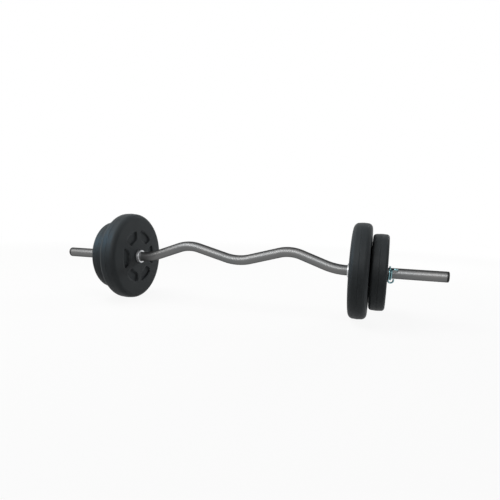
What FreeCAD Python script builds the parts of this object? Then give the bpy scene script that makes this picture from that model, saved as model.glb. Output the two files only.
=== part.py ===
import FreeCAD, Part
import math
import os

# EZ curl bar with two moulded plates and a spring collar on each end.
# Millimetres. X runs along the bar, Y from front to back and Z up. The origin is on the floor under the
# middle of the bar, so the bar's axis is one large-plate radius above it. The pieces are modelled round
# the bar's axis and raised when they are written out.

# Bar: one bent tube
tube_od = 30.0
tube_wall = 3.0
bar_length = 1200.0
grip_span = 686.4
outer_slope = 19.6
inner_slope = 15.2
hump_offset = 164.5
sleeve_bend_radius = 195.0
hump_bend_radius = 113.0
dip_bend_radius = 153.0
bend_to_collar = 1.0

# Inner collar: a ring on the tube, locked by a slotted spring pin from the back
collar_od = 41.0
collar_width = 9.0
collar_chamfer = 1.0
pin_od = 4.0
pin_wall = 0.8
pin_slot = 0.8
pin_sunk = 0.4
pin_reach = 2.0

# End cap: a head as wide as the tube, and a hollow plug with ribs that grip the bore
cap_head = 6.0
cap_edge_radius = 2.5
cap_plug_length = 22.0
cap_plug_wall = 2.0
cap_rib_count = 3
cap_rib_width = 2.0
cap_rib_height = 0.8

# Plates: two moulded half shells, welded at the middle of the rim round a cement filling
large_plate_od = 274.6
large_plate_width = 51.8
large_edge_radius = 15.0
large_pocket_inner = 54.0
large_pocket_outer = 83.0
large_pocket_depth = 6.0
large_spoke_width = 20.0
small_plate_od = 216.8
small_plate_width = 44.4
small_edge_radius = 9.0
small_pocket_inner = 43.0
small_pocket_outer = 66.0
small_pocket_depth = 5.0
small_spoke_width = 17.0
plate_wall = 4.0
bore_clearance = 0.5
hub_od = 50.6
hub_proud = 1.2
rim_draft = 0.8
seam_chamfer = 0.8
pocket_count = 6
pocket_corner = 6.0
pocket_draft = 8.0
first_pocket_angle = 0.0
core_clearance = 0.2
stack_gap = 0.3

# Filler plug: a stepped disc in the outer half of each plate
plug_od = 15.0
plug_flange = 1.5
plug_lip = 1.5
plug_depth = 2.0
plug_clearance = 0.1
plug_angle = 330.0

# Spring collar: one wire, wound round the tube from the lower hook to the upper one
wire_od = 5.0
coil_clearance = 0.3
coil_pitch = 5.5
coil_extra_turns = 1
lower_hook_heading = -103.0
upper_hook_heading = 17.0
ear_bend_radius = 6.0
hook_radius = 7.4
hook_return = 4.0

# Places that follow from the sizes above
Vector = FreeCAD.Vector
along = Vector(1, 0, 0)
middle = Vector(0, 0, 0)
axis_height = large_plate_od / 2
tube_radius = tube_od / 2
tube_bore = tube_radius - tube_wall
sleeve_end = bar_length / 2
collar_face = grip_span / 2
bore_radius = tube_radius + bore_clearance
hub_radius = hub_od / 2
large_face = collar_face + stack_gap + hub_proud
small_face = large_face + large_plate_width + 2 * hub_proud + stack_gap
spring_face = small_face + small_plate_width + hub_proud + stack_gap


def revolved(outline):
    """Solid turned round the bar's axis from a closed list of lines and arcs, each of (x, radius) points."""
    edges = []
    for piece in outline:
        corners = [Vector(x, 0, radius) for x, radius in piece]
        edges.append(edge_through(corners))
    return Part.Face(Part.Wire(edges)).revolve(middle, along, 360)


def edge_through(corners):
    """Straight edge through two points, or the arc through three."""
    if len(corners) == 2:
        return Part.LineSegment(*corners).toShape()
    return Part.Arc(*corners).toShape()


def closed_lines(corners):
    """Straight pieces of an outline that joins the corners in turn and closes on the first."""
    return list(zip(corners, corners[1:] + corners[:1]))


def radial(angle):
    """Unit vector square to the bar: 0 degrees is the front, 90 is up."""
    turn = math.radians(angle)
    return Vector(0, -math.cos(turn), math.sin(turn))


# Bar and its fittings

def rounded_path(points, radii):
    """Wire of straight runs joined by tangent arcs, with one radius for each inner point."""
    edges = []
    run_start = points[0]
    for before, corner, after, radius in zip(points, points[1:], points[2:], radii):
        back = (before - corner).normalize()
        onward = (after - corner).normalize()
        half_turn = (math.pi - back.getAngle(onward)) / 2
        tangent = radius * math.tan(half_turn)
        inward = (back + onward).normalize()
        arc_start = corner + back * tangent
        arc_middle = corner + inward * (radius / math.cos(half_turn) - radius)
        arc_end = corner + onward * tangent
        edges.append(edge_through([run_start, arc_start]))
        edges.append(edge_through([arc_start, arc_middle, arc_end]))
        run_start = arc_end
    edges.append(edge_through([run_start, points[-1]]))
    return Part.Wire(edges)


def bar_path():
    """Axis of the bar: sleeve, rise to a hump, fall to the middle dip, and the same again mirrored."""
    outer_rise = math.tan(math.radians(outer_slope))
    inner_fall = math.tan(math.radians(inner_slope))
    bend_tangent = sleeve_bend_radius * math.tan(math.radians(outer_slope) / 2)
    bend_corner = collar_face - collar_width - bend_to_collar - bend_tangent
    hump_rise = (bend_corner - hump_offset) * outer_rise
    dip_rise = hump_rise - hump_offset * inner_fall
    right = [Vector(hump_offset, 0, hump_rise), Vector(bend_corner, 0, 0), Vector(sleeve_end, 0, 0)]
    left = [Vector(-point.x, 0, point.z) for point in reversed(right)]
    radii = [sleeve_bend_radius, hump_bend_radius, dip_bend_radius, hump_bend_radius, sleeve_bend_radius]
    return rounded_path(left + [Vector(0, 0, dip_rise)] + right, radii)


def bar_rod(path, radius):
    """Round rod of one radius along the bar's axis."""
    ring = Part.Wire(Part.makeCircle(radius, Vector(-sleeve_end, 0, 0), along))
    return path.makePipeShell([ring], True, False)


def pin_hole(side):
    """Hole for the spring pin through the back of one ring and the wall of the tube."""
    centre = Vector(side * (collar_face - collar_width / 2), 0, 0)
    return Part.makeCylinder(pin_od / 2, collar_od, centre, radial(180))


def bar_tube():
    path = bar_path()
    tube = bar_rod(path, tube_radius).cut(bar_rod(path, tube_bore))
    return tube.cut([pin_hole(-1), pin_hole(1)])


def inner_collar(side):
    """Ring with chamfered outer edges, against the hub of the large plate."""
    outside = collar_od / 2
    edge = outside - collar_chamfer
    near = collar_face - collar_width
    ring = revolved(closed_lines([
        (near, tube_radius), (near, edge), (near + collar_chamfer, outside),
        (collar_face - collar_chamfer, outside), (collar_face, edge), (collar_face, tube_radius)]))
    if side < 0:
        ring.rotate(middle, Vector(0, 0, 1), 180)
    return ring.cut(pin_hole(side))


def collar_pin(side):
    """Slotted spring pin, sunk a little below the ring and reaching just past the tube's wall."""
    start = tube_bore - pin_reach
    length = collar_od / 2 - pin_sunk - start
    centre = Vector(side * (collar_face - collar_width / 2), start, 0)
    pin = Part.makeCylinder(pin_od / 2, length, centre, radial(180))
    bore = Part.makeCylinder(pin_od / 2 - pin_wall, length, centre, radial(180))
    slot = Part.makeBox(pin_od, length, pin_slot, centre - Vector(0, 0, pin_slot / 2))
    return pin.cut([bore, slot])


def end_cap():
    """Right end cap: head with a rounded edge, then the ribbed plug in the tube's bore."""
    tip = sleeve_end + cap_head
    flat = tube_radius - cap_edge_radius
    shoulder = tip - cap_edge_radius
    bulge = cap_edge_radius * math.sqrt(0.5)
    plug_radius = tube_bore - cap_rib_height
    plug_end = sleeve_end - cap_plug_length
    edge_arc = ((shoulder, tube_radius), (shoulder + bulge, flat + bulge), (tip, flat))
    sides = closed_lines([
        (tip, flat), (tip, 0), (sleeve_end, 0), (sleeve_end, plug_radius - cap_plug_wall),
        (plug_end, plug_radius - cap_plug_wall), (plug_end, plug_radius), (sleeve_end, plug_radius),
        (sleeve_end, tube_radius), (shoulder, tube_radius)])[:-1]
    cap = revolved(sides + [edge_arc])
    rib_step = cap_plug_length / (cap_rib_count + 1)
    ribs = []
    for number in range(cap_rib_count):
        near = sleeve_end - (number + 1) * rib_step
        ribs.append(revolved(closed_lines([
            (near - cap_rib_width, plug_radius), (near, tube_bore), (near, plug_radius - cap_plug_wall),
            (near - cap_rib_width, plug_radius - cap_plug_wall)])))
    return cap.fuse(ribs).removeSplitter()


# Plates, modelled with the inner face at x = 0 and the outer face at x = width

class Plate:
    """Sizes of one plate."""

    def __init__(self, od, width, edge, pocket_inner, pocket_outer, pocket_depth, spoke):
        self.radius = od / 2
        self.width = width
        self.edge = edge
        self.pocket_inner = pocket_inner
        self.pocket_outer = pocket_outer
        self.pocket_depth = pocket_depth
        self.spoke = spoke
        self.face_radius = self.radius - rim_draft - edge
        self.plug_circle = (pocket_outer + self.face_radius) / 2


def half_body(plate):
    """Solid inner half: hub, flat face, rounded edge and a rim that widens to the seam."""
    seam = plate.width / 2
    lean = plate.edge * math.sqrt(0.5)
    arc = ((0, plate.face_radius), (plate.edge - lean, plate.face_radius + lean),
           (plate.edge, plate.face_radius + plate.edge))
    lines = closed_lines([
        arc[2], (seam - seam_chamfer, plate.radius), (seam, plate.radius - seam_chamfer),
        (seam, bore_radius), (-hub_proud, bore_radius), (-hub_proud, hub_radius - hub_proud),
        (0, hub_radius), arc[0]])[:-1]
    return revolved([arc] + lines)


def pocket_outline(plate, shrink, corner, depth):
    """Closed wire of a fan-shaped pocket, drawn in by an amount, with its corner radius, at one depth."""
    inner = plate.pocket_inner + shrink
    outer = plate.pocket_outer - shrink
    half_spoke = plate.spoke / 2 + shrink
    half_fan = math.pi / pocket_count

    def spot(along_spoke, beside, mirror):
        angle = mirror * (half_fan - math.atan2(beside, along_spoke)) + math.radians(first_pocket_angle)
        reach = math.hypot(along_spoke, beside)
        return Vector(depth, -reach * math.cos(angle), reach * math.sin(angle))

    def corner_spots(circle, inside, mirror):
        """Ends and middle of one corner arc, from the straight side to the round one."""
        to_centre = circle - inside * corner
        beside = half_spoke + corner
        along_spoke = math.sqrt(to_centre ** 2 - beside ** 2)
        outward = Vector(along_spoke, beside, 0).normalize() * inside
        lean = (outward + Vector(0, -1, 0)).normalize() * corner
        share = circle / to_centre
        return [spot(along_spoke, half_spoke, mirror),
                spot(along_spoke + lean.x, beside + lean.y, mirror),
                spot(along_spoke * share, beside * share, mirror)]

    near_out, near_in = corner_spots(outer, 1, -1), corner_spots(inner, -1, -1)
    far_out, far_in = corner_spots(outer, 1, 1), corner_spots(inner, -1, 1)
    pieces = [
        [near_in[0], near_out[0]], near_out,
        [near_out[2], spot(outer * math.cos(half_fan), outer * math.sin(half_fan), 1), far_out[2]],
        far_out[::-1], [far_out[0], far_in[0]], far_in,
        [far_in[2], spot(inner * math.cos(half_fan), inner * math.sin(half_fan), 1), near_in[2]],
        near_in[::-1]]
    return Part.Wire([edge_through(piece) for piece in pieces if piece[0] != piece[-1]])


def pocket_ring(plate):
    """Tapered blocks that cut the pockets of the inner face."""
    taper = plate.pocket_depth * math.tan(math.radians(pocket_draft))
    mouth = pocket_outline(plate, 0, pocket_corner, 0)
    floor = pocket_outline(plate, taper, pocket_corner - taper, plate.pocket_depth)
    return repeated(Part.makeLoft([mouth, floor], True, True))


def pocket_walls(plate, wall):
    """Square-cornered blocks that keep a wall round the pockets of the inner face."""
    outline = pocket_outline(plate, -wall, 0, 0)
    return repeated(Part.Face(outline).extrude(along * (plate.pocket_depth + wall)))


def repeated(block):
    """Copies of a block, one for each pocket."""
    return [block.rotated(middle, along, number * 360 / pocket_count) for number in range(pocket_count)]


def turned_over(shape, plate):
    """Copy of a piece of the inner half, turned over onto the outer half."""
    return shape.mirror(Vector(plate.width / 2, 0, 0), along)


def cavity(plate, wall):
    """Space inside both halves at a distance from the outside, with bevels behind the rounded edges."""
    rim = plate.face_radius + plate.edge - wall
    hub = bore_radius + wall
    far = plate.width - wall
    space = revolved(closed_lines([
        (wall, hub), (wall, plate.face_radius), (plate.edge, rim), (plate.width / 2, plate.radius - wall),
        (plate.width - plate.edge, rim), (far, plate.face_radius), (far, hub)]))
    walls = pocket_walls(plate, wall)
    return space.cut(walls + [turned_over(block, plate) for block in walls])


def disc(plate, radius, start, depth):
    """Disc at the filling hole, from a depth below the outer face inwards."""
    centre = radial(plug_angle) * plate.plug_circle + Vector(plate.width - start, 0, 0)
    return Part.makeCylinder(radius, depth, centre, Vector(-1, 0, 0))


def plate_pieces(plate):
    """Two half shells, the filling and the filler plug of one plate."""
    space = cavity(plate, plate_wall)
    inner = half_body(plate).cut(pocket_ring(plate) + [space])
    plug_radius = plug_od / 2
    flange_radius = plug_radius + plug_lip
    seat = disc(plate, flange_radius + plug_clearance, 0, plug_flange)
    hole = disc(plate, plug_radius + plug_clearance, 0, plate_wall)
    outer = turned_over(inner, plate).cut([seat, hole])
    shank = disc(plate, plug_radius, 0, plate_wall + plug_depth)
    plug = disc(plate, flange_radius, 0, plug_flange).fuse(shank).removeSplitter()
    recess = disc(plate, plug_radius + plug_clearance, 0, plate_wall + plug_depth + core_clearance)
    core = cavity(plate, plate_wall + core_clearance).cut(recess)
    return {"inner_shell": inner, "outer_shell": outer, "core": core, "filler_plug": plug}


# Spring collar

def helix_spot(turn, coil_radius):
    """Point of the coil, its direction and the way out, a turn in degrees from the lower ear."""
    angle = lower_hook_heading + turn
    out = radial(angle)
    lead = coil_pitch / math.radians(360)
    onward = (radial(angle + 90) * coil_radius + along * lead).normalize()
    lower_ear_drift = onward.x * ear_bend_radius
    start = spring_face + wire_od / 2 + lower_ear_drift
    spot = out * coil_radius + along * (start + coil_pitch * turn / 360)
    return spot, onward, out


def biarc(start, start_way, end, end_way):
    """Two arcs that leave one point and reach another in the given directions."""
    chord = end - start
    ways = start_way + end_way
    square = 2 * (1 - start_way.dot(end_way))
    across = chord.dot(ways)
    reach = (math.sqrt(across ** 2 + square * chord.dot(chord)) - across) / square
    first_corner = start + start_way * reach
    second_corner = end - end_way * reach
    joint = (first_corner + second_corner) * 0.5
    return [tangent_arc(start, first_corner, joint), tangent_arc(joint, second_corner, end)]


def tangent_arc(start, corner, end):
    """Start, middle and end of the arc that touches both sides of a corner at equal distances."""
    base = (start + end) * 0.5
    half_chord = (end - start).Length / 2
    height = (corner - base).Length
    side = (corner - start).Length
    sagitta = half_chord * (side - half_chord) / height
    return [start, base + (corner - base).normalize() * sagitta, end]


def ear(spot, way, out):
    """Square bend, hook and return leg, from one end of the coil outwards."""
    lean = math.sqrt(0.5)
    bend_middle = spot + (way * lean + out * (1 - lean)) * ear_bend_radius
    bend_end = spot + (way + out) * ear_bend_radius
    hook_end = bend_end + along * (2 * hook_radius)
    return [
        [spot, bend_middle, bend_end],
        [bend_end, bend_end + (along + out) * hook_radius, hook_end],
        [hook_end, hook_end - out * hook_return]]


def wire_path():
    """Centre line of the right spring collar, from the lower hook's tip to the upper one's."""
    coil_radius = tube_radius + coil_clearance + wire_od / 2
    between_hooks = upper_hook_heading - lower_hook_heading
    wound = 360 * coil_extra_turns + between_hooks
    steps = math.ceil(wound / 90)
    spots = [helix_spot(wound * step / steps, coil_radius) for step in range(steps + 1)]
    pieces = []
    for (start, start_way, _), (end, end_way, _) in zip(spots, spots[1:]):
        pieces += biarc(start, start_way, end, end_way)
    first, first_way, first_out = spots[0]
    last, last_way, last_out = spots[-1]
    lower = [piece[::-1] for piece in reversed(ear(first, -first_way, first_out))]
    return Part.Wire([edge_through(piece) for piece in lower + pieces + ear(last, last_way, last_out)])


def print_least_gap(path):
    """Print the least gap of the wire to itself, measured on points of its centre line."""
    spacing = wire_od / 10
    count = int(path.Length / spacing)
    points = path.discretize(Number=count)
    apart = int(math.pi * hook_radius / spacing)
    least = min((points[i] - points[j]).Length for i in range(count) for j in range(i + apart, count))
    print("least gap of the spring wire to itself: %.2f mm" % (least - wire_od))


def spring_collar(side):
    """Wound wire of one collar. The left one is the same part, turned end for end."""
    path = wire_path()
    if side > 0:
        print_least_gap(path)
    start = path.OrderedEdges[0]
    tip = start.valueAt(start.FirstParameter)
    ring = Part.Wire(Part.makeCircle(wire_od / 2, tip, start.tangentAt(start.FirstParameter)))
    shell = Part.BRepOffsetAPI.MakePipeShell(path)
    shell.add(ring)
    shell.build()
    shell.makeSolid()
    wire = shell.shape()
    if side < 0:
        wire.rotate(middle, radial((lower_hook_heading + upper_hook_heading) / 2), 180)
    return wire


# Assembly

def all_pieces():
    """Every piece by name, round the bar's axis."""
    pieces = {"bar_tube": bar_tube()}
    plates = {
        "large": (large_face, plate_pieces(Plate(
            large_plate_od, large_plate_width, large_edge_radius, large_pocket_inner,
            large_pocket_outer, large_pocket_depth, large_spoke_width))),
        "small": (small_face, plate_pieces(Plate(
            small_plate_od, small_plate_width, small_edge_radius, small_pocket_inner,
            small_pocket_outer, small_pocket_depth, small_spoke_width)))}
    for name, side in (("left", -1), ("right", 1)):
        pieces[name + "_inner_collar"] = inner_collar(side)
        pieces[name + "_collar_pin"] = collar_pin(side)
        pieces[name + "_spring_collar"] = spring_collar(side)
        half_turn = 0 if side > 0 else 180
        cap = end_cap()
        cap.rotate(middle, Vector(0, 0, 1), half_turn)
        pieces[name + "_end_cap"] = cap
        for size, (face, shapes) in plates.items():
            for role, shape in shapes.items():
                placed = shape.translated(along * face)
                placed.rotate(middle, Vector(0, 0, 1), half_turn)
                pieces["%s_%s_%s" % (name, size, role)] = placed
    return pieces


os.makedirs("parts", exist_ok=True)
for node, shape in all_pieces().items():
    raised = shape.translated(Vector(0, 0, axis_height))
    raised.exportStep("parts/%s.step" % node)
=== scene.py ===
import math

import bpy
import numpy as np
from mathutils import Matrix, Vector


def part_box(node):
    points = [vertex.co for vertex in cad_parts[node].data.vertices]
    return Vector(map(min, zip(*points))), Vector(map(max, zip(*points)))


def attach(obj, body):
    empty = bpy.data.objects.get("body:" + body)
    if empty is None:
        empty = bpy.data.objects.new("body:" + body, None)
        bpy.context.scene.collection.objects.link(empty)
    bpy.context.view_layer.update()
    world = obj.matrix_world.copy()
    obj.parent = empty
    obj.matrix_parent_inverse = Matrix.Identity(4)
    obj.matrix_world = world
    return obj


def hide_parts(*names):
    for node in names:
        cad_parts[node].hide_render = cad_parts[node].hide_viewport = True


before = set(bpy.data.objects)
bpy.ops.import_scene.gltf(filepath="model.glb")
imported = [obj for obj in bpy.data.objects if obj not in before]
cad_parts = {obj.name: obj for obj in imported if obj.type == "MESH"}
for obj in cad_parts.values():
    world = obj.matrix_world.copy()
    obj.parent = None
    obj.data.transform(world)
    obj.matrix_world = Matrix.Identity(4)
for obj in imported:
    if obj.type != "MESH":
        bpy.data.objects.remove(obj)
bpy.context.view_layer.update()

# Looks of an ez curl bar: a bent tube with stop rings and end caps, four moulded plates, two wire collars.
# Sizes are in millimetres and become metres in the meshes. X runs along the bar, Y from front to back and
# Z up. Angles round the bar start at the front and rise, so that 90 degrees is up.

MM = 0.001
sides = {"left": -1, "right": 1}
along = np.array([1.0, 0.0, 0.0])

# Bends of the bar
outer_slope = 19.6
inner_slope = 15.2
hump_offset = 164.5
sleeve_bend_radius = 195.0
hump_bend_radius = 113.0
dip_bend_radius = 153.0
bend_to_ring = 1.0
tube_wall = 3.0
tube_edge = 0.6
lip_share = 0.18

# Stop rings, pins and end caps
ring_edge = 0.9
ring_face_band = 3 * ring_edge
pin_dip = 1.0
pin_dip_blend = 0.3
pin_radius = 2.0
cap_edge_radius = 2.5
cap_lip = 0.5
cap_core_radius = 0.5
cap_plug_chamfer = 0.6
cap_plug_wall = 2.0
cap_rib_height = 0.8
cap_rib_width = 2.0
cap_rib_gap = 0.1
cap_ribs = 3
cap_dish = 0.5
cap_dish_shares = np.array([0.1, 0.35, 0.6, 0.8, 1.0])
cap_flat_share = 0.375

# Plates
plate_wall = 4.0
hub_radius = 25.3
hub_proud = 1.2
hub_inset_share = 0.8
hub_foot = 0.5
bore_radius = 15.5
bore_edge = 0.6
rim_draft = 0.8
seam_chamfer = 0.5
seam_ease_width = 0.5
seam_ease_depth = 0.1
pocket_count = 6
pocket_corner = 6.0
pocket_draft = 8.0
pocket_edge = 0.8
edge_rub = 0.2
plate_shapes = {
    "large": {"edge": 15.0, "pocket_inner": 54.0, "pocket_outer": 83.0, "pocket_depth": 6.0, "spoke": 20.0},
    "small": {"edge": 9.0, "pocket_inner": 43.0, "pocket_outer": 66.0, "pocket_depth": 5.0, "spoke": 17.0}}
plug_proud = 0.4
plug_edge = 0.7
plug_dish = 0.35
plug_dish_shares = np.array([0.15, 0.45, 0.6, 0.7, 0.78])
plug_flat_share = 0.5
plug_slope_share = 0.25
plug_shank_share = 0.8
plug_core_share = 0.1

# Wire collars
wire_radius = 2.5
coil_clearance = 0.3
coil_pitch = 5.5
stack_gap = 0.3
lower_hook_heading = -103.0
upper_hook_heading = 17.0
ear_bend_radius = 6.0
hook_radius = 7.4
hook_return = 4.0
wire_edge = 0.8

# Fineness of the grids
bar_columns = 96
lathe_columns = 192
pin_crowding = 1.6
plug_columns = 72
wire_columns = 32
flat_columns = 5
wall_columns = 8
pocket_columns = 14
floor_columns = 128
arc_step = math.radians(1.5)
coil_step = math.radians(4)
tip_turns = np.linspace(0, math.pi / 2, 6)


def node_box(node):
    """Lowest and highest corner of a CAD node, in millimetres."""
    low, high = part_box(node)
    return np.array(low) / MM, np.array(high) / MM


# Places read from the solids
tube_high = node_box("bar_tube")[1]
ring_low, ring_high = node_box("right_inner_collar")
cap_low, cap_high = node_box("right_end_cap")
tube_radius = tube_high[1]
sleeve_end = tube_high[0]
ring_radius = ring_high[1]
axis_height = (ring_low[2] + ring_high[2]) / 2
spring_face = node_box("right_small_outer_shell")[1][0] + stack_gap


# Surfaces

def radial(angle):
    """Directions square to the bar for angles in radians: minus cosine along Y, sine along Z."""
    return np.stack([np.zeros_like(angle), -np.cos(angle), np.sin(angle)], axis=-1)


def turn_angles(columns):
    """Evenly spaced angles of one turn."""
    return np.linspace(0, 2 * math.pi, columns, endpoint=False)


def unit(vectors):
    """Vectors divided by their lengths."""
    return vectors / np.linalg.norm(vectors, axis=-1, keepdims=True)


def smooth(share):
    """The curve 3t^2 - 2t^3, held at 0 and 1 outside."""
    held = np.clip(share, 0, 1)
    return held * held * (3 - 2 * held)


def between(start, end, count):
    """Evenly spaced points from a start towards an end, which is left out."""
    share = np.arange(count)[:, None] / count
    return np.array(start) + share * np.subtract(end, start)


def quarter(start, end, count):
    """Points of a quarter ellipse from a start that it leaves along the first axis, without its end."""
    turn = np.arange(count) / count * math.pi / 2
    share = np.stack([np.sin(turn), 1 - np.cos(turn)], axis=-1)
    return np.array(start) + share * np.subtract(end, start)


def skin(name, rings, material, closed=True, **attributes):
    """Piece through a grid of closed rings. The rings close in a loop, or end in a point in the middle of the
    first and of the last ring. If the signed volume, the sum of a . (b x c) over the corners, comes out
    negative, the faces are turned round."""
    rows, columns = rings.shape[:2]
    index = np.arange(rows * columns).reshape(rows, columns)
    points = rings.reshape(-1, 3)
    near = index if closed else index[:-1]
    far = np.roll(index, -1, axis=0) if closed else index[1:]
    quads = np.stack([near, np.roll(near, -1, axis=1), np.roll(far, -1, axis=1), far], axis=-1).reshape(-1, 4)
    triangles = np.empty((0, 3), int)
    if not closed:
        points = np.concatenate([points, [rings[0].mean(axis=0), rings[-1].mean(axis=0)]])
        first, last = index[0], index[-1]
        start, end = np.full(columns, rows * columns), np.full(columns, rows * columns + 1)
        triangles = np.concatenate([
            np.stack([np.roll(first, -1), first, start], axis=-1),
            np.stack([last, np.roll(last, -1), end], axis=-1)])
    corners = points[np.concatenate([quads[:, :3], quads[:, [0, 2, 3]], triangles])] - points.mean(axis=0)
    volume = np.einsum("ij,ij->", corners[:, 0], np.cross(corners[:, 1], corners[:, 2]))
    if volume < 0:
        quads, triangles = quads[:, ::-1], triangles[:, ::-1]
    mesh = bpy.data.meshes.new(name)
    mesh.from_pydata((points * MM).tolist(), [], quads.tolist() + triangles.tolist())
    mesh.polygons.foreach_set("use_smooth", np.ones(len(mesh.polygons), bool))
    for label, values in attributes.items():
        flat = values.reshape(rows * columns, -1)
        flat = np.concatenate([flat, np.repeat(flat[-1:], len(points) - len(flat), axis=0)])
        kind = "FLOAT_VECTOR" if flat.shape[1] == 3 else "FLOAT"
        field = "vector" if flat.shape[1] == 3 else "value"
        mesh.attributes.new(label, kind, "POINT").data.foreach_set(field, flat.astype(np.float32).ravel())
    mesh.materials.append(material)
    piece = bpy.data.objects.new(name, mesh)
    bpy.context.scene.collection.objects.link(piece)
    return piece


def turned(outline, angles, centre=(0.0, 0.0)):
    """Rings turned from an outline of (x, radius): each goes round a line along X at one y and height."""
    x = np.broadcast_to(outline[:, :1], (len(outline), angles.shape[-1]))
    rings = radial(np.broadcast_to(angles, x.shape)) * outline[:, 1:, None] + x[..., None] * along
    return rings + np.array([0.0, centre[0], axis_height + centre[1]])


def swept(spots, ways, outs, radii, columns):
    """Rings round a line: spot + radius (cos(a) out + sin(a) (way x out)). The line made straight comes with
    them: (length so far, radius cos(a), radius sin(a))."""
    angle = turn_angles(columns)
    cosine, sine = np.cos(angle)[:, None], np.sin(angle)[:, None]
    across = np.cross(ways, outs)
    rings = spots[:, None] + radii[:, None, None] * (cosine * outs[:, None] + sine * across[:, None])
    steps = np.linalg.norm(np.diff(spots, axis=0, prepend=spots[:1]), axis=-1)
    length = np.broadcast_to(np.cumsum(steps)[:, None], rings.shape[:2])
    straight = np.stack([length, radii[:, None] * cosine.T, radii[:, None] * sine.T], axis=-1)
    return rings, straight * MM


# Bar

def bar_line():
    """Axis of the bar: straight runs joined by arcs. An arc of radius R leaves its run R tan(turn / 2) before
    the corner and goes along start + R sin(t) way + R (1 - cos(t)) inward. Gives spots and ways."""
    outer_rise = math.tan(math.radians(outer_slope))
    inner_fall = math.tan(math.radians(inner_slope))
    bend_corner = ring_low[0] - bend_to_ring - sleeve_bend_radius * math.tan(math.radians(outer_slope) / 2)
    hump = (bend_corner - hump_offset) * outer_rise
    dip = hump - hump_offset * inner_fall
    right = np.array([[hump_offset, 0, hump], [bend_corner, 0, 0], [sleeve_end, 0, 0]])
    corners = np.concatenate([(right * [-1, 1, 1])[::-1], [[0, 0, dip]], right])
    radii = [sleeve_bend_radius, hump_bend_radius, dip_bend_radius, hump_bend_radius, sleeve_bend_radius]
    runs = unit(np.diff(corners, axis=0))
    lip = np.array([0, lip_share, 1, 2, 5])[:, None] * tube_edge
    spots, ways = [corners[0] + lip * along], [np.repeat(runs[:1], len(lip), axis=0)]
    for corner, way, onward, radius in zip(corners[1:], runs, runs[1:], radii):
        turn = math.acos(way @ onward)
        inward = unit(onward - way * (way @ onward))
        angle = np.linspace(0, turn, math.ceil(turn / arc_step) + 1)[:, None]
        start = corner - way * radius * math.tan(turn / 2)
        spots.append(start + radius * (np.sin(angle) * way + (1 - np.cos(angle)) * inward))
        ways.append(np.cos(angle) * way + np.sin(angle) * inward)
    spots.append(corners[-1] - lip[::-1] * along)
    ways.append(np.repeat(runs[-1:], len(lip), axis=0))
    return np.concatenate(spots) + [0, 0, axis_height], np.concatenate(ways)


def bent_bar(material):
    """Tube along the bar's axis: the outer wall with eased end edges, then the bore back to the start."""
    spots, ways = bar_line()
    radii = np.full(len(spots), tube_radius)
    lip = tube_edge * np.array([1, lip_share])
    radii[:2] -= lip
    radii[-2:] -= lip[::-1]
    bore = np.full(len(spots), tube_radius - tube_wall)
    sideways = np.repeat([[0.0, 1.0, 0.0]], len(spots), axis=0)
    outer, straight = swept(spots, ways, sideways, radii, bar_columns)
    inner, straight_inner = swept(spots, ways, sideways, bore, bar_columns)
    rings = np.concatenate([outer, inner[::-1]])
    return skin("bent_bar", rings, material, straight=np.concatenate([straight, straight_inner[::-1]]))


def stop_ring(side, name, material):
    """Ring turned from a rectangle with eased edges. Round the pin its outside dips: the radius loses the
    dip's depth times a soft step of the distance from the pin. The columns crowd towards the pin."""
    width = ring_high[0] - ring_low[0]
    inside, outside = tube_radius, ring_radius
    middle = (ring_low[0] + ring_high[0]) / 2
    rows = [
        between((-width / 2, inside), (-width / 2, outside - ring_face_band), 2),
        between((-width / 2, outside - ring_face_band), (-width / 2, outside - ring_edge), 2),
        quarter((outside - ring_edge, -width / 2), (outside, ring_edge - width / 2), 6)[:, ::-1],
        between((ring_edge - width / 2, outside), (width / 2 - ring_edge, outside), 36),
        quarter((width / 2 - ring_edge, outside), (width / 2, outside - ring_edge), 6),
        between((width / 2, outside - ring_edge), (width / 2, outside - ring_face_band), 2),
        between((width / 2, outside - ring_face_band), (width / 2, inside), 2),
        between((width / 2, inside), (-width / 2, inside), 2)]
    outline = np.concatenate(rows)
    crowded = np.linspace(-1, 1, lathe_columns, endpoint=False)
    angles = math.pi + math.pi * np.sign(crowded) * np.abs(crowded) ** pin_crowding
    rings = turned(outline, angles)
    from_pin = np.hypot(rings[..., 0], rings[..., 2] - axis_height)
    dip = pin_dip * (1 - smooth((from_pin - pin_radius) / pin_dip_blend + 0.5))
    outer = (outline[:, 1] == outside)[:, None] & (rings[..., 1] > 0)
    rings[..., 1] -= np.where(outer, dip, 0)
    rings[..., 0] += side * middle
    lathe = np.broadcast_to(outline[:, None], rings.shape[:2] + (2,))
    lathe = np.concatenate([lathe, np.zeros(rings.shape[:2] + (1,))], axis=-1)
    return skin(name, rings, material, turned=lathe * MM)


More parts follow.
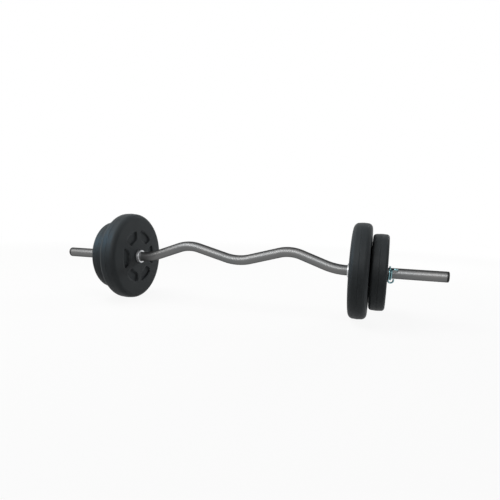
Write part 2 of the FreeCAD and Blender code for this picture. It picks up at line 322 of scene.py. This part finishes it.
def end_cap(side, name, material):
    """Cap turned from one outline: a dished face, a rounded edge, the head, and the ribbed hollow plug."""
    tip, bottom = cap_high[0], cap_low[0]
    edge = cap_edge_radius
    bore = tube_radius - tube_wall
    plug = bore - cap_rib_height
    rib_step = (sleeve_end - bottom) / (cap_ribs + 1)
    face = tube_radius - edge
    dish = tip - cap_dish * (1 - smooth((cap_dish_shares - cap_flat_share) / (1 - cap_flat_share)))
    rows = [
        np.stack([dish, cap_dish_shares * face], axis=-1)[:-1],
        quarter((face, tip), (tube_radius, tip - edge), 10)[:, ::-1],
        between((tip - edge, tube_radius), (sleeve_end + cap_lip, tube_radius), 3),
        quarter((sleeve_end + cap_lip, tube_radius), (sleeve_end, tube_radius - cap_lip), 4),
        between((sleeve_end, tube_radius - cap_lip), (sleeve_end, plug), 2)]
    for number in range(cap_ribs):
        rib = sleeve_end - (number + 1) * rib_step
        rows.append(np.array([[rib, plug], [rib, bore - cap_rib_gap], [rib - cap_rib_width, plug]]))
    rows += [
        between((bottom + cap_plug_chamfer, plug), (bottom, plug - cap_plug_chamfer), 1),
        between((bottom, plug - cap_plug_chamfer), (bottom, plug - cap_plug_wall), 2),
        between((bottom, plug - cap_plug_wall), (sleeve_end, plug - cap_plug_wall), 2),
        between((sleeve_end, plug - cap_plug_wall), (sleeve_end, cap_core_radius), 2)]
    rings = turned(np.concatenate(rows), turn_angles(lathe_columns))
    rings[..., 0] *= side
    return skin(name, rings, material, closed=False)


# Plates

def pocket_distance(radius, angle, shape):
    """How far a point lies inside the nearest fan-shaped pocket: the least distance to its two arcs and two
    straight sides, with the corners rounded."""
    sector = 2 * math.pi / pocket_count
    from_spoke = np.abs((angle % sector) - sector / 2)
    side = radius * np.sin(from_spoke) - shape["spoke"] / 2
    arc = np.minimum(radius - shape["pocket_inner"], shape["pocket_outer"] - radius)
    p, q = pocket_corner - arc, pocket_corner - side
    return pocket_corner - np.hypot(np.maximum(p, 0), np.maximum(q, 0)) - np.minimum(np.maximum(p, q), 0)


def wall_width(shape):
    """Width that a pocket's drafted wall takes with its two eased edges."""
    return shape["pocket_depth"] * math.tan(math.radians(pocket_draft)) + 2 * pocket_edge


def pocket_angles(radius, shape):
    """Angles of the columns at each radius. They keep to the sides of the spokes: from the middle of a spoke
    to the middle of a pocket, a few cross the flat, a few the wall and the rest the floor."""
    reach = np.clip(radius, shape["pocket_inner"], shape["pocket_outer"])[:, None]
    half_sector = math.pi / pocket_count
    wall_start = np.arcsin((shape["spoke"] / 2 - pocket_edge) / reach)
    wall_end = np.arcsin((shape["spoke"] / 2 - pocket_edge + wall_width(shape)) / reach)
    flat = wall_start * np.arange(flat_columns) / flat_columns
    wall = wall_start + (wall_end - wall_start) * np.arange(wall_columns) / wall_columns
    floor = wall_end + (half_sector - wall_end) * np.arange(pocket_columns) / pocket_columns
    half = np.concatenate([flat, wall, floor, np.full_like(reach, half_sector)], axis=1)
    fan = half_sector + np.concatenate([half[:, :-1], 2 * half_sector - half[:, :0:-1]], axis=1)
    starts = 2 * half_sector * np.arange(pocket_count)
    return (fan[:, None] + starts[:, None]).reshape(len(radius), -1)


def plate_rows(shape, half, radius):
    """Closed outline of half a plate as (distance from the seam, radius): bore, hub, face, rounded edge, rim
    and seam, then back along the inside of the wall. Gives the rows of the face and of its inside as well."""
    face_radius = radius - rim_draft - shape["edge"]
    rim = face_radius + shape["edge"]
    hub_face = half + hub_proud
    wall = wall_width(shape)
    inner, outer = shape["pocket_inner"] - pocket_edge, shape["pocket_outer"] + pocket_edge
    step = np.linspace(0, 1, 8)
    hub_edge = hub_radius + hub_proud * (step - hub_inset_share)
    hub_side = np.stack([hub_face - hub_proud * smooth(step), hub_edge], axis=-1)
    outside = [
        between((0, bore_radius), (hub_face - bore_edge, bore_radius), 3),
        quarter((hub_face - bore_edge, bore_radius), (hub_face, bore_radius + bore_edge), 4),
        between((hub_face, bore_radius + bore_edge), hub_side[0], 3), hub_side]
    face = [
        between((half, hub_side[-1, 1] + hub_foot), (half, inner), 5),
        between((half, inner), (half, inner + wall), 8),
        between((half, inner + wall), (half, outer - wall), 12),
        between((half, outer - wall), (half, outer), 8),
        between((half, outer), (half, face_radius), 6)]
    rest = [
        quarter((face_radius, half), (rim, half - shape["edge"]), 16)[:, ::-1],
        between((half - shape["edge"], rim), (seam_chamfer + seam_ease_width, radius), 5),
        quarter((seam_chamfer + seam_ease_width, radius), (seam_chamfer, radius - seam_ease_depth), 2),
        between((seam_chamfer, radius - seam_ease_depth), (0, radius - seam_chamfer), 2),
        between((0, radius - seam_chamfer), (0, radius - plate_wall), 1),
        between((0, radius - plate_wall), (half - shape["edge"], rim - plate_wall), 2),
        between((half - shape["edge"], rim - plate_wall), (half - plate_wall, face_radius), 3)]
    inside = [between((half - plate_wall, face_radius), (half - plate_wall, bore_radius + plate_wall), 24)]
    back = [between((half - plate_wall, bore_radius + plate_wall), (0, bore_radius + plate_wall), 3)]
    groups = [np.concatenate(group) for group in (outside, face, rest, inside, back)]
    zones = np.repeat(range(len(groups)), [len(group) for group in groups])
    return np.concatenate(groups), zones == 1, zones == 3


def half_plate(name, node, size, side, is_outer, material):
    """Half a plate as a closed shell. Its rings are turned from the outline, and the pockets sink the face by
    their depth times a soft step of the distance inside a pocket; behind it the wall's inside sinks as much,
    a wall's thickness further out. The rub on the pockets' edges is kept as an attribute."""
    shape = plate_shapes[size]
    low, high = node_box(node)
    half = high[0] - low[0] - hub_proud
    radius = (high[2] - low[2]) / 2
    outline, is_face, is_inside = plate_rows(shape, half, radius)
    angles = pocket_angles(outline[:, 1], shape)
    distance = pocket_distance(outline[:, 1:], angles, shape)
    sunk = shape["pocket_depth"] * smooth((distance + pocket_edge) / wall_width(shape))
    behind = shape["pocket_depth"] * smooth((distance + plate_wall + pocket_edge) / wall_width(shape))
    rings = turned(outline, angles)
    rings[..., 0] -= np.where(is_face[:, None], sunk, 0) + np.where(is_inside[:, None], behind, 0)
    rub = edge_rub * np.exp(-(distance / pocket_edge) ** 2) * is_face[:, None]
    away = side if is_outer else -side
    seam = low[0] if away > 0 else high[0]
    rings[..., 0] = seam + away * rings[..., 0]
    return skin(name, rings, material, rub=rub)


def filler_plug(name, node, side, material):
    """Disc over the filling hole, turned from one outline: a dished middle, an eased edge and the shank."""
    low, high = node_box(node)
    centre = (low + high) / 2
    radius = (high[1] - low[1]) / 2
    depth = high[0] - low[0]
    shank, core = radius * plug_shank_share, radius * plug_core_share
    dish = plug_proud - plug_dish * (1 - smooth((plug_dish_shares - plug_flat_share) / plug_slope_share))
    rows = [
        np.stack([dish, plug_dish_shares * radius], axis=-1),
        quarter((radius - plug_edge, plug_proud), (radius, plug_proud - plug_edge), 7)[:, ::-1],
        between((plug_proud - plug_edge, radius), (-depth / 2, radius), 2),
        between((-depth / 2, shank), (-depth, shank), 2),
        between((-depth, shank), (-depth, core), 2)]
    rings = turned(np.concatenate(rows), turn_angles(plug_columns), (centre[1], centre[2] - axis_height))
    rings[..., 0] = (high[0] if side > 0 else low[0]) + side * rings[..., 0]
    return skin(name, rings, material, closed=False)


# Wire collars

def arc_turns(turn, step):
    """Angles from just after 0 to the end of a turn."""
    count = math.ceil(turn / step)
    return (np.arange(count) + 1)[:, None] * turn / count


def ear(spot, way, out):
    """Centre line beyond one end of the coil: a quarter circle away from the tube, a half-circle hook and the
    return leg. Gives spots, ways and outs, one row for each ring."""
    bend = arc_turns(math.pi / 2, coil_step)
    bent = spot + ear_bend_radius * (np.sin(bend) * way + (1 - np.cos(bend)) * out)
    bent_way = np.cos(bend) * way + np.sin(bend) * out
    bent_out = np.cos(bend) * out - np.sin(bend) * way
    hook = arc_turns(math.pi, coil_step)
    hooked = bent[-1] + hook_radius * ((1 - np.cos(hook)) * along + np.sin(hook) * out)
    hooked_way = np.cos(hook) * out + np.sin(hook) * along
    tip = hook_return - wire_edge + wire_edge * np.sin(tip_turns[:, None])
    returned = hooked[-1] - tip * out
    spots = np.concatenate([bent, hooked, returned])
    ways = np.concatenate([bent_way, hooked_way, np.repeat(-out[None], len(tip), axis=0)])
    outs = np.sum(ways * way, axis=-1, keepdims=True) * ways - way
    outs = np.concatenate([bent_out, unit(outs[len(bent):])])
    return spots, ways, outs


def wire_collar(side, name, material):
    """Wire swept along its centre line. The coil is a helix: radius times radial(a), moving along X by the
    pitch in each turn. An ear bends out of each end. The left collar is the right one turned half a turn
    about the direction midway between its hooks: v goes to 2 (v . k) k - v."""
    lower, upper = math.radians(lower_hook_heading), math.radians(upper_hook_heading)
    coil_radius = tube_radius + coil_clearance + wire_radius
    wound = 2 * math.pi + upper - lower
    turn = np.linspace(0, wound, math.ceil(wound / coil_step) + 1)
    angle = lower + turn
    lead = coil_pitch / (2 * math.pi)
    outs = radial(angle)
    ways = unit(radial(angle + math.pi / 2) * coil_radius + lead * along)
    drift = ways[0, 0] * ear_bend_radius
    spots = outs * coil_radius + (spring_face + wire_radius + drift + lead * turn)[:, None] * along
    low_spots, low_ways, low_outs = ear(spots[0], -ways[0], outs[0])
    high_spots, high_ways, high_outs = ear(spots[-1], ways[-1], outs[-1])
    spots = np.concatenate([low_spots[::-1], spots, high_spots])
    ways = np.concatenate([-low_ways[::-1], ways, high_ways])
    outs = np.concatenate([low_outs[::-1], outs, high_outs])
    tips = len(tip_turns)
    radii = np.full(len(spots), wire_radius)
    radii[-tips:] -= wire_edge * (1 - np.cos(tip_turns))
    radii[:tips] = radii[-tips:][::-1]
    rings, straight = swept(spots, ways, outs, radii, wire_columns)
    if side < 0:
        pivot = radial(np.array((lower + upper) / 2))
        rings = 2 * (rings @ pivot)[..., None] * pivot - rings
    return skin(name, rings + [0, 0, axis_height], material, closed=False, straight=straight)


# Finishes

noise_range = (0.25, 0.75)
polyethylene_ior = 1.51


def colour(text):
    """Linear colour of an sRGB hex value."""
    channels = np.array([int(text[place:place + 2], 16) for place in (1, 3, 5)]) / 255
    linear = np.where(channels <= 0.04045, channels / 12.92, ((channels + 0.055) / 1.055) ** 2.4)
    return (*linear.tolist(), 1.0)


def per(size):
    """Scale of a pattern whose features are a size in millimetres."""
    return 1 / (size * MM)


def add(tree, kind, sockets, **settings):
    """Add a node. The settings are its options, and each socket gets a value or a link from an output."""
    node = tree.nodes.new(kind)
    for name, value in settings.items():
        setattr(node, name, value)
    for name, value in sockets.items():
        if isinstance(value, bpy.types.NodeSocket):
            tree.links.new(value, node.inputs[name])
        else:
            node.inputs[name].default_value = value
    return node


def new_finish(name):
    """Empty material, its node tree and its shader."""
    material = bpy.data.materials.new(name)
    material.use_nodes = True
    tree = material.node_tree
    tree.nodes.clear()
    shader = add(tree, "ShaderNodeBsdfPrincipled", {})
    add(tree, "ShaderNodeOutputMaterial", {"Surface": shader.outputs[0]})
    return material, tree, shader


def dress(tree, shader, dark, pale, shade, rough, gloss, height, depth):
    """Join patterns to a shader: a shade between two colours, a gloss between two roughnesses over the usual
    range of a noise, and a relief of a depth in millimetres."""
    mixed = add(tree, "ShaderNodeMix", {0: shade, 6: colour(dark), 7: colour(pale)}, data_type="RGBA")
    spread = add(tree, "ShaderNodeMapRange", {
        "Value": gloss, "From Min": noise_range[0], "From Max": noise_range[1],
        "To Min": rough[0], "To Max": rough[1]})
    relief = add(tree, "ShaderNodeBump", {"Height": height, "Strength": 1.0, "Distance": depth * MM})
    tree.links.new(mixed.outputs[2], shader.inputs["Base Color"])
    tree.links.new(spread.outputs[0], shader.inputs["Roughness"])
    tree.links.new(relief.outputs[0], shader.inputs["Normal"])


def satin_nickel_steel():
    """Drawn steel tube, polished and satin nickel plated: a mid-grey metal with a soft long highlight, edges
    that darken as they turn away, faint lines along the draw and cloudy patches where hands have been."""
    material, tree, shader = new_finish("satin nickel steel")
    shader.inputs["Metallic"].default_value = 1.0
    shader.inputs["Specular Tint"].default_value = colour("#8c8c8c")
    place = add(tree, "ShaderNodeAttribute", {}, attribute_name="straight").outputs["Vector"]
    # Draw lines are some 0.1 mm wide and are drawn at 0.9 mm, to show
    stretched = add(tree, "ShaderNodeMapping", {"Vector": place, "Scale": (per(120), per(0.9), per(0.9))})
    lines = add(tree, "ShaderNodeTexNoise", {"Vector": stretched.outputs[0], "Scale": 1.0, "Detail": 3.0})
    clouds = add(tree, "ShaderNodeTexNoise", {"Vector": place, "Scale": per(90), "Detail": 3.0})
    shade = add(tree, "ShaderNodeMix", {0: 0.5, 2: clouds.outputs[0], 3: lines.outputs[0]})
    dress(tree, shader, "#535c60", "#7d7875", shade.outputs[0], (0.38, 0.47), lines.outputs[0],
          lines.outputs[0], 0.002)
    return material


def bright_turned_steel():
    """Steel ring turned on a lathe and bright plated: near white, with fine rings left by the tool."""
    material, tree, shader = new_finish("bright turned steel")
    shader.inputs["Metallic"].default_value = 1.0
    place = add(tree, "ShaderNodeAttribute", {}, attribute_name="turned").outputs["Vector"]
    # Tool marks are some 0.1 mm apart and are drawn at 0.5 mm, to show
    marks = add(tree, "ShaderNodeTexNoise", {"Vector": place, "Scale": per(0.5), "Detail": 2.0})
    where = add(tree, "ShaderNodeTexCoord", {}).outputs["Object"]
    stain = add(tree, "ShaderNodeTexNoise", {"Vector": where, "Scale": per(9), "Detail": 3.0})
    dress(tree, shader, "#c4c6c8", "#d6d8da", stain.outputs[0], (0.38, 0.52), marks.outputs[0],
          marks.outputs[0], 0.008)
    return material


def blue_zinc_wire():
    """Spring steel wire, bright zinc plated and blue passivated: shiny, with a cold green-blue cast and faint
    lines along the wire."""
    material, tree, shader = new_finish("blue zinc wire")
    shader.inputs["Metallic"].default_value = 1.0
    place = add(tree, "ShaderNodeAttribute", {}, attribute_name="straight").outputs["Vector"]
    # Drawing lines are some 0.05 mm wide and are drawn at 0.5 mm, to show
    stretched = add(tree, "ShaderNodeMapping", {"Vector": place, "Scale": (per(40), per(0.5), per(0.5))})
    lines = add(tree, "ShaderNodeTexNoise", {"Vector": stretched.outputs[0], "Scale": 1.0, "Detail": 2.0})
    cast = add(tree, "ShaderNodeTexNoise", {"Vector": place, "Scale": per(12), "Detail": 2.0})
    dress(tree, shader, "#6a9298", "#8fb0b6", cast.outputs[0], (0.14, 0.26), lines.outputs[0],
          lines.outputs[0], 0.006)
    return material


def black_moulded_polyethylene():
    """Black polyethylene moulded in an eroded tool: a soft dull black, with a fine grain that breaks up the
    gloss, slow shades left by the flow, and greyer edges where the plates rub."""
    material, tree, shader = new_finish("black moulded polyethylene")
    shader.inputs["IOR"].default_value = polyethylene_ior
    shader.inputs["Specular IOR Level"].default_value = 0.1
    place = add(tree, "ShaderNodeTexCoord", {}).outputs["Object"]
    # The tool's grain is some 0.4 mm wide and is drawn at 1.6 mm, to show
    grain = add(tree, "ShaderNodeTexNoise", {"Vector": place, "Scale": per(1.6), "Detail": 4.0})
    flow = add(tree, "ShaderNodeTexNoise", {"Vector": place, "Scale": per(60), "Detail": 3.0})
    scuffs = add(tree, "ShaderNodeTexNoise", {"Vector": place, "Scale": per(7), "Detail": 5.0})
    rub = add(tree, "ShaderNodeAttribute", {}, attribute_name="rub").outputs["Fac"]
    worn = add(tree, "ShaderNodeMath", {0: rub, 1: scuffs.outputs[0]}, operation="MULTIPLY")
    shade = add(tree, "ShaderNodeMath", {0: flow.outputs[0], 1: 0.3, 2: worn.outputs[0]},
                operation="MULTIPLY_ADD")
    dress(tree, shader, "#282b2d", "#424647", shade.outputs[0], (0.5, 0.6), grain.outputs[0],
          grain.outputs[0], 0.05)
    return material


def black_moulded_cap():
    """Black polyethylene cap from a polished tool: darker and smoother than the plates, with faint
    scratches."""
    material, tree, shader = new_finish("black moulded cap")
    shader.inputs["IOR"].default_value = polyethylene_ior
    shader.inputs["Specular IOR Level"].default_value = 0.25
    place = add(tree, "ShaderNodeTexCoord", {}).outputs["Object"]
    scratches = add(tree, "ShaderNodeTexNoise", {"Vector": place, "Scale": per(3), "Detail": 5.0})
    flow = add(tree, "ShaderNodeTexNoise", {"Vector": place, "Scale": per(14), "Detail": 2.0})
    dress(tree, shader, "#070808", "#0f1011", flow.outputs[0], (0.4, 0.54), scratches.outputs[0],
          scratches.outputs[0], 0.02)
    return material


def blackened_pin_steel():
    """Rolled spring pin, oil blackened: dark grey and half bright, mottled by the oil."""
    material, tree, shader = new_finish("blackened pin steel")
    shader.inputs["Metallic"].default_value = 1.0
    place = add(tree, "ShaderNodeTexCoord", {}).outputs["Object"]
    mottle = add(tree, "ShaderNodeTexNoise", {"Vector": place, "Scale": per(1.2), "Detail": 3.0})
    dress(tree, shader, "#3c3d40", "#5c5e62", mottle.outputs[0], (0.3, 0.5), mottle.outputs[0],
          mottle.outputs[0], 0.01)
    return material


def set_cement():
    """Cement filling, poured and set: dull grey-brown with sand grains."""
    material, tree, shader = new_finish("set cement")
    place = add(tree, "ShaderNodeTexCoord", {}).outputs["Object"]
    sand = add(tree, "ShaderNodeTexVoronoi", {"Vector": place, "Scale": per(2.5)})
    cloud = add(tree, "ShaderNodeTexNoise", {"Vector": place, "Scale": per(30), "Detail": 5.0})
    dress(tree, shader, "#7d7a74", "#9c9890", cloud.outputs[0], (0.85, 0.95), sand.outputs[0],
          sand.outputs[0], 0.3)
    return material


# Object

bar_finish = satin_nickel_steel()
ring_finish = bright_turned_steel()
wire_finish = blue_zinc_wire()
plate_finish = black_moulded_polyethylene()
cap_finish = black_moulded_cap()
carried_over = {"collar_pin": blackened_pin_steel(), "large_core": set_cement()}
carried_over["small_core"] = carried_over["large_core"]


def place_piece(piece, body, slot, *nodes):
    """Let a piece ride on a body and stand for CAD nodes, which are hidden. The slot is not used."""
    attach(piece, body)
    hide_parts(*nodes)


# Groups of pieces that lamps are linked to
plate_pieces = bpy.data.collections.new("plates")
matt_pieces = bpy.data.collections.new("matt pieces")

place_piece(bent_bar(bar_finish), "bar", "bar_steel", "bar_tube")
for name, side in sides.items():
    ring = stop_ring(side, name + "_stop_ring", ring_finish)
    place_piece(ring, "bar", "ring_steel", name + "_inner_collar")
    cap = end_cap(side, name + "_cap", cap_finish)
    place_piece(cap, "bar", "cap_plastic", name + "_end_cap")
    matt_pieces.objects.link(cap)
    wire = wire_collar(side, name + "_wire_collar", wire_finish)
    place_piece(wire, name + "_spring_collar", "spring_chrome", name + "_spring_collar")
    for size in plate_shapes:
        plate = name + "_" + size
        for half in ("inner", "outer"):
            node = plate + "_" + half + "_shell"
            piece = half_plate(plate + "_" + half + "_half", node, size, side, half == "outer", plate_finish)
            place_piece(piece, plate + "_plate", "plate_plastic", node)
            plate_pieces.objects.link(piece)
            matt_pieces.objects.link(piece)
        plug = filler_plug(plate + "_plug", plate + "_filler_plug", side, cap_finish)
        place_piece(plug, plate + "_plate", "plug_plastic", plate + "_filler_plug")
        matt_pieces.objects.link(plug)
    for role, finish in carried_over.items():
        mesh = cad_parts[name + "_" + role].data
        mesh.materials.clear()
        mesh.materials.append(finish)

# Studio, in metres

floor_radius = 9.0
floor_drop = 0.0002
floor_fade = (1.1, 3.0)
floor_glow = 0.92
room_fill = 0.07
cove_heights = (0.5, 0.75)
overhead_level = 0.3
nearly_up = (0.0, 0.001, 1.0)
bar_middle = (0.0, 0.0, 0.14)
left_face = (-0.34, 0.0, 0.14)
left_rims = (-0.42, -0.1, 0.2)
camera_place = (0.42074, -1.17, 0.2948)
camera_yaw = -0.255
camera_pitch = 0.1708
camera_roll = 0.0339
focal_pixels = 404.8
picture_centre = (273.66, 282.07)
picture_size = 500


def seen_rays(tree):
    """1 for rays to the camera and in reflections and glass, 0 for the light that falls on surfaces."""
    path = add(tree, "ShaderNodeLightPath", {}).outputs
    direct = {0: path["Is Camera Ray"], 1: path["Is Glossy Ray"]}
    mirrored = add(tree, "ShaderNodeMath", direct, operation="ADD")
    through = {0: mirrored.outputs[0], 1: path["Is Transmission Ray"]}
    return add(tree, "ShaderNodeMath", through, operation="ADD", use_clamp=True).outputs[0]


def pale_floor():
    """Matt white paper under the object, which keeps its shadow and fades to plain white further out. To the
    eye and in reflections it is nearer to white than the light on it makes it."""
    angles = turn_angles(floor_columns)
    rim = np.stack([np.cos(angles), np.sin(angles), np.zeros_like(angles)], axis=-1) * floor_radius
    mesh = bpy.data.meshes.new("floor")
    mesh.from_pydata((rim - [0, 0, floor_drop]).tolist(), [], [list(range(len(rim)))])
    material, tree, shader = new_finish("white paper")
    shader.inputs["Base Color"].default_value = colour("#b0b0af")
    shader.inputs["Roughness"].default_value = 0.9
    shader.inputs["Specular IOR Level"].default_value = 0.1
    place = add(tree, "ShaderNodeTexCoord", {}).outputs["Object"]
    away = add(tree, "ShaderNodeVectorMath", {0: place}, operation="LENGTH")
    fade = add(tree, "ShaderNodeMapRange", {
        "Value": away.outputs["Value"], "From Min": floor_fade[0], "From Max": floor_fade[1],
        "To Min": floor_glow}, interpolation_type="SMOOTHSTEP")
    seen = add(tree, "ShaderNodeMath", {0: fade.outputs[0], 1: seen_rays(tree)}, operation="MULTIPLY")
    white = add(tree, "ShaderNodeEmission", {"Strength": 1.0})
    mixed = add(tree, "ShaderNodeMixShader", {0: seen.outputs[0], 1: shader.outputs[0], 2: white.outputs[0]})
    tree.links.new(mixed.outputs[0], tree.nodes["Material Output"].inputs["Surface"])
    mesh.materials.append(material)
    floor = bpy.data.objects.new("floor", mesh)
    bpy.context.scene.collection.objects.link(floor)
    matt_pieces.objects.link(floor)


def softbox(name, place, aim, size, radiance, card=False, tint="#ffffff", receivers=None):
    """Rectangular lamp that gives a radiance, aimed at a point: power is radiance times pi times its area. It
    lights the matt pieces. A card only shows in reflections, on its receivers or else on every piece."""
    lamp = bpy.data.lights.new(name, "AREA")
    lamp.shape = "RECTANGLE"
    lamp.color = colour(tint)[:3]
    lamp.size, lamp.size_y = size
    lamp.energy = radiance * math.pi * size[0] * size[1]
    box = bpy.data.objects.new(name, lamp)
    back = unit(np.subtract(place, aim))
    across = unit(np.cross(nearly_up, back))
    axes = np.stack([across, np.cross(back, across), back], axis=-1)
    box.matrix_world = Matrix.Translation(place) @ Matrix(axes.tolist()).to_4x4()
    box.visible_camera = False
    box.visible_diffuse = not card
    box.visible_glossy = card
    box.light_linking.receiver_collection = receivers if card else matt_pieces
    bpy.context.scene.collection.objects.link(box)


def white_room():
    """World that is white up to a good height above the horizon and greyer overhead, as in a white cove, and
    lights surfaces less than it shows."""
    world = bpy.data.worlds.new("white room")
    world.use_nodes = True
    tree = world.node_tree
    tree.nodes.clear()
    way = add(tree, "ShaderNodeTexCoord", {}).outputs["Generated"]
    height = add(tree, "ShaderNodeSeparateXYZ", {0: way}).outputs["Z"]
    shade = add(tree, "ShaderNodeMapRange", {
        "Value": height, "From Min": cove_heights[0], "From Max": cove_heights[1],
        "To Min": 1.0, "To Max": overhead_level}, interpolation_type="SMOOTHSTEP")
    level = add(tree, "ShaderNodeMapRange", {"Value": seen_rays(tree), "To Min": room_fill})
    light = add(tree, "ShaderNodeBackground", {"Color": shade.outputs[0], "Strength": level.outputs[0]})
    add(tree, "ShaderNodeOutputWorld", {"Surface": light.outputs[0]})
    bpy.context.scene.world = world


def photo_camera():
    """Camera at the photograph's place: turned by yaw, pitched down and rolled, with the picture shifted."""
    way = np.array([math.sin(camera_yaw) * math.cos(camera_pitch),
                    math.cos(camera_yaw) * math.cos(camera_pitch), -math.sin(camera_pitch)])
    level = np.array([math.cos(camera_yaw), -math.sin(camera_yaw), 0.0])
    upright = np.cross(level, way)
    across = math.cos(camera_roll) * level + math.sin(camera_roll) * upright
    up = math.cos(camera_roll) * upright - math.sin(camera_roll) * level
    lens = bpy.data.cameras.new("photo camera")
    lens.lens = focal_pixels / picture_size * lens.sensor_width
    lens.shift_x = (picture_size / 2 - picture_centre[0]) / picture_size
    lens.shift_y = (picture_centre[1] - picture_size / 2) / picture_size
    camera = bpy.data.objects.new("photo camera", lens)
    axes = np.stack([across, up, -way], axis=-1)
    camera.matrix_world = Matrix.Translation(camera_place) @ Matrix(axes.tolist()).to_4x4()
    bpy.context.scene.collection.objects.link(camera)
    bpy.context.scene.camera = camera


pale_floor()
white_room()
photo_camera()
softbox("overhead box", (-0.9, -0.2, 2.1), bar_middle, (1.6, 1.6), 9.6)
softbox("side box", (0.9, 1.7, 1.0), left_face, (0.6, 0.6), 25.0)
for name, side in sides.items():
    softbox(name + " end box", (side * 2.4, 0.0, 0.4), bar_middle, (0.6, 0.6), 14.0)
softbox("overhead card", (0.0, -0.9, 2.0), bar_middle, (3.0, 1.2), 1.4, card=True)
softbox("front card", (-0.2, -1.9, 1.35), (-0.2, 0.0, 0.14), (3.5, 0.7), 6.8, card=True)
softbox("left card", (-1.5, -1.1, 1.75), (-1.5, 0.0, 0.14), (0.7, 1.3), 6.5, card=True)
softbox("cool card", (-1.65, -1.0, 1.25), left_rims, (0.6, 0.6), 36.0, card=True, tint="#5cb4e0",
        receivers=plate_pieces)
bpy.context.scene.view_settings.view_transform = "Standard"
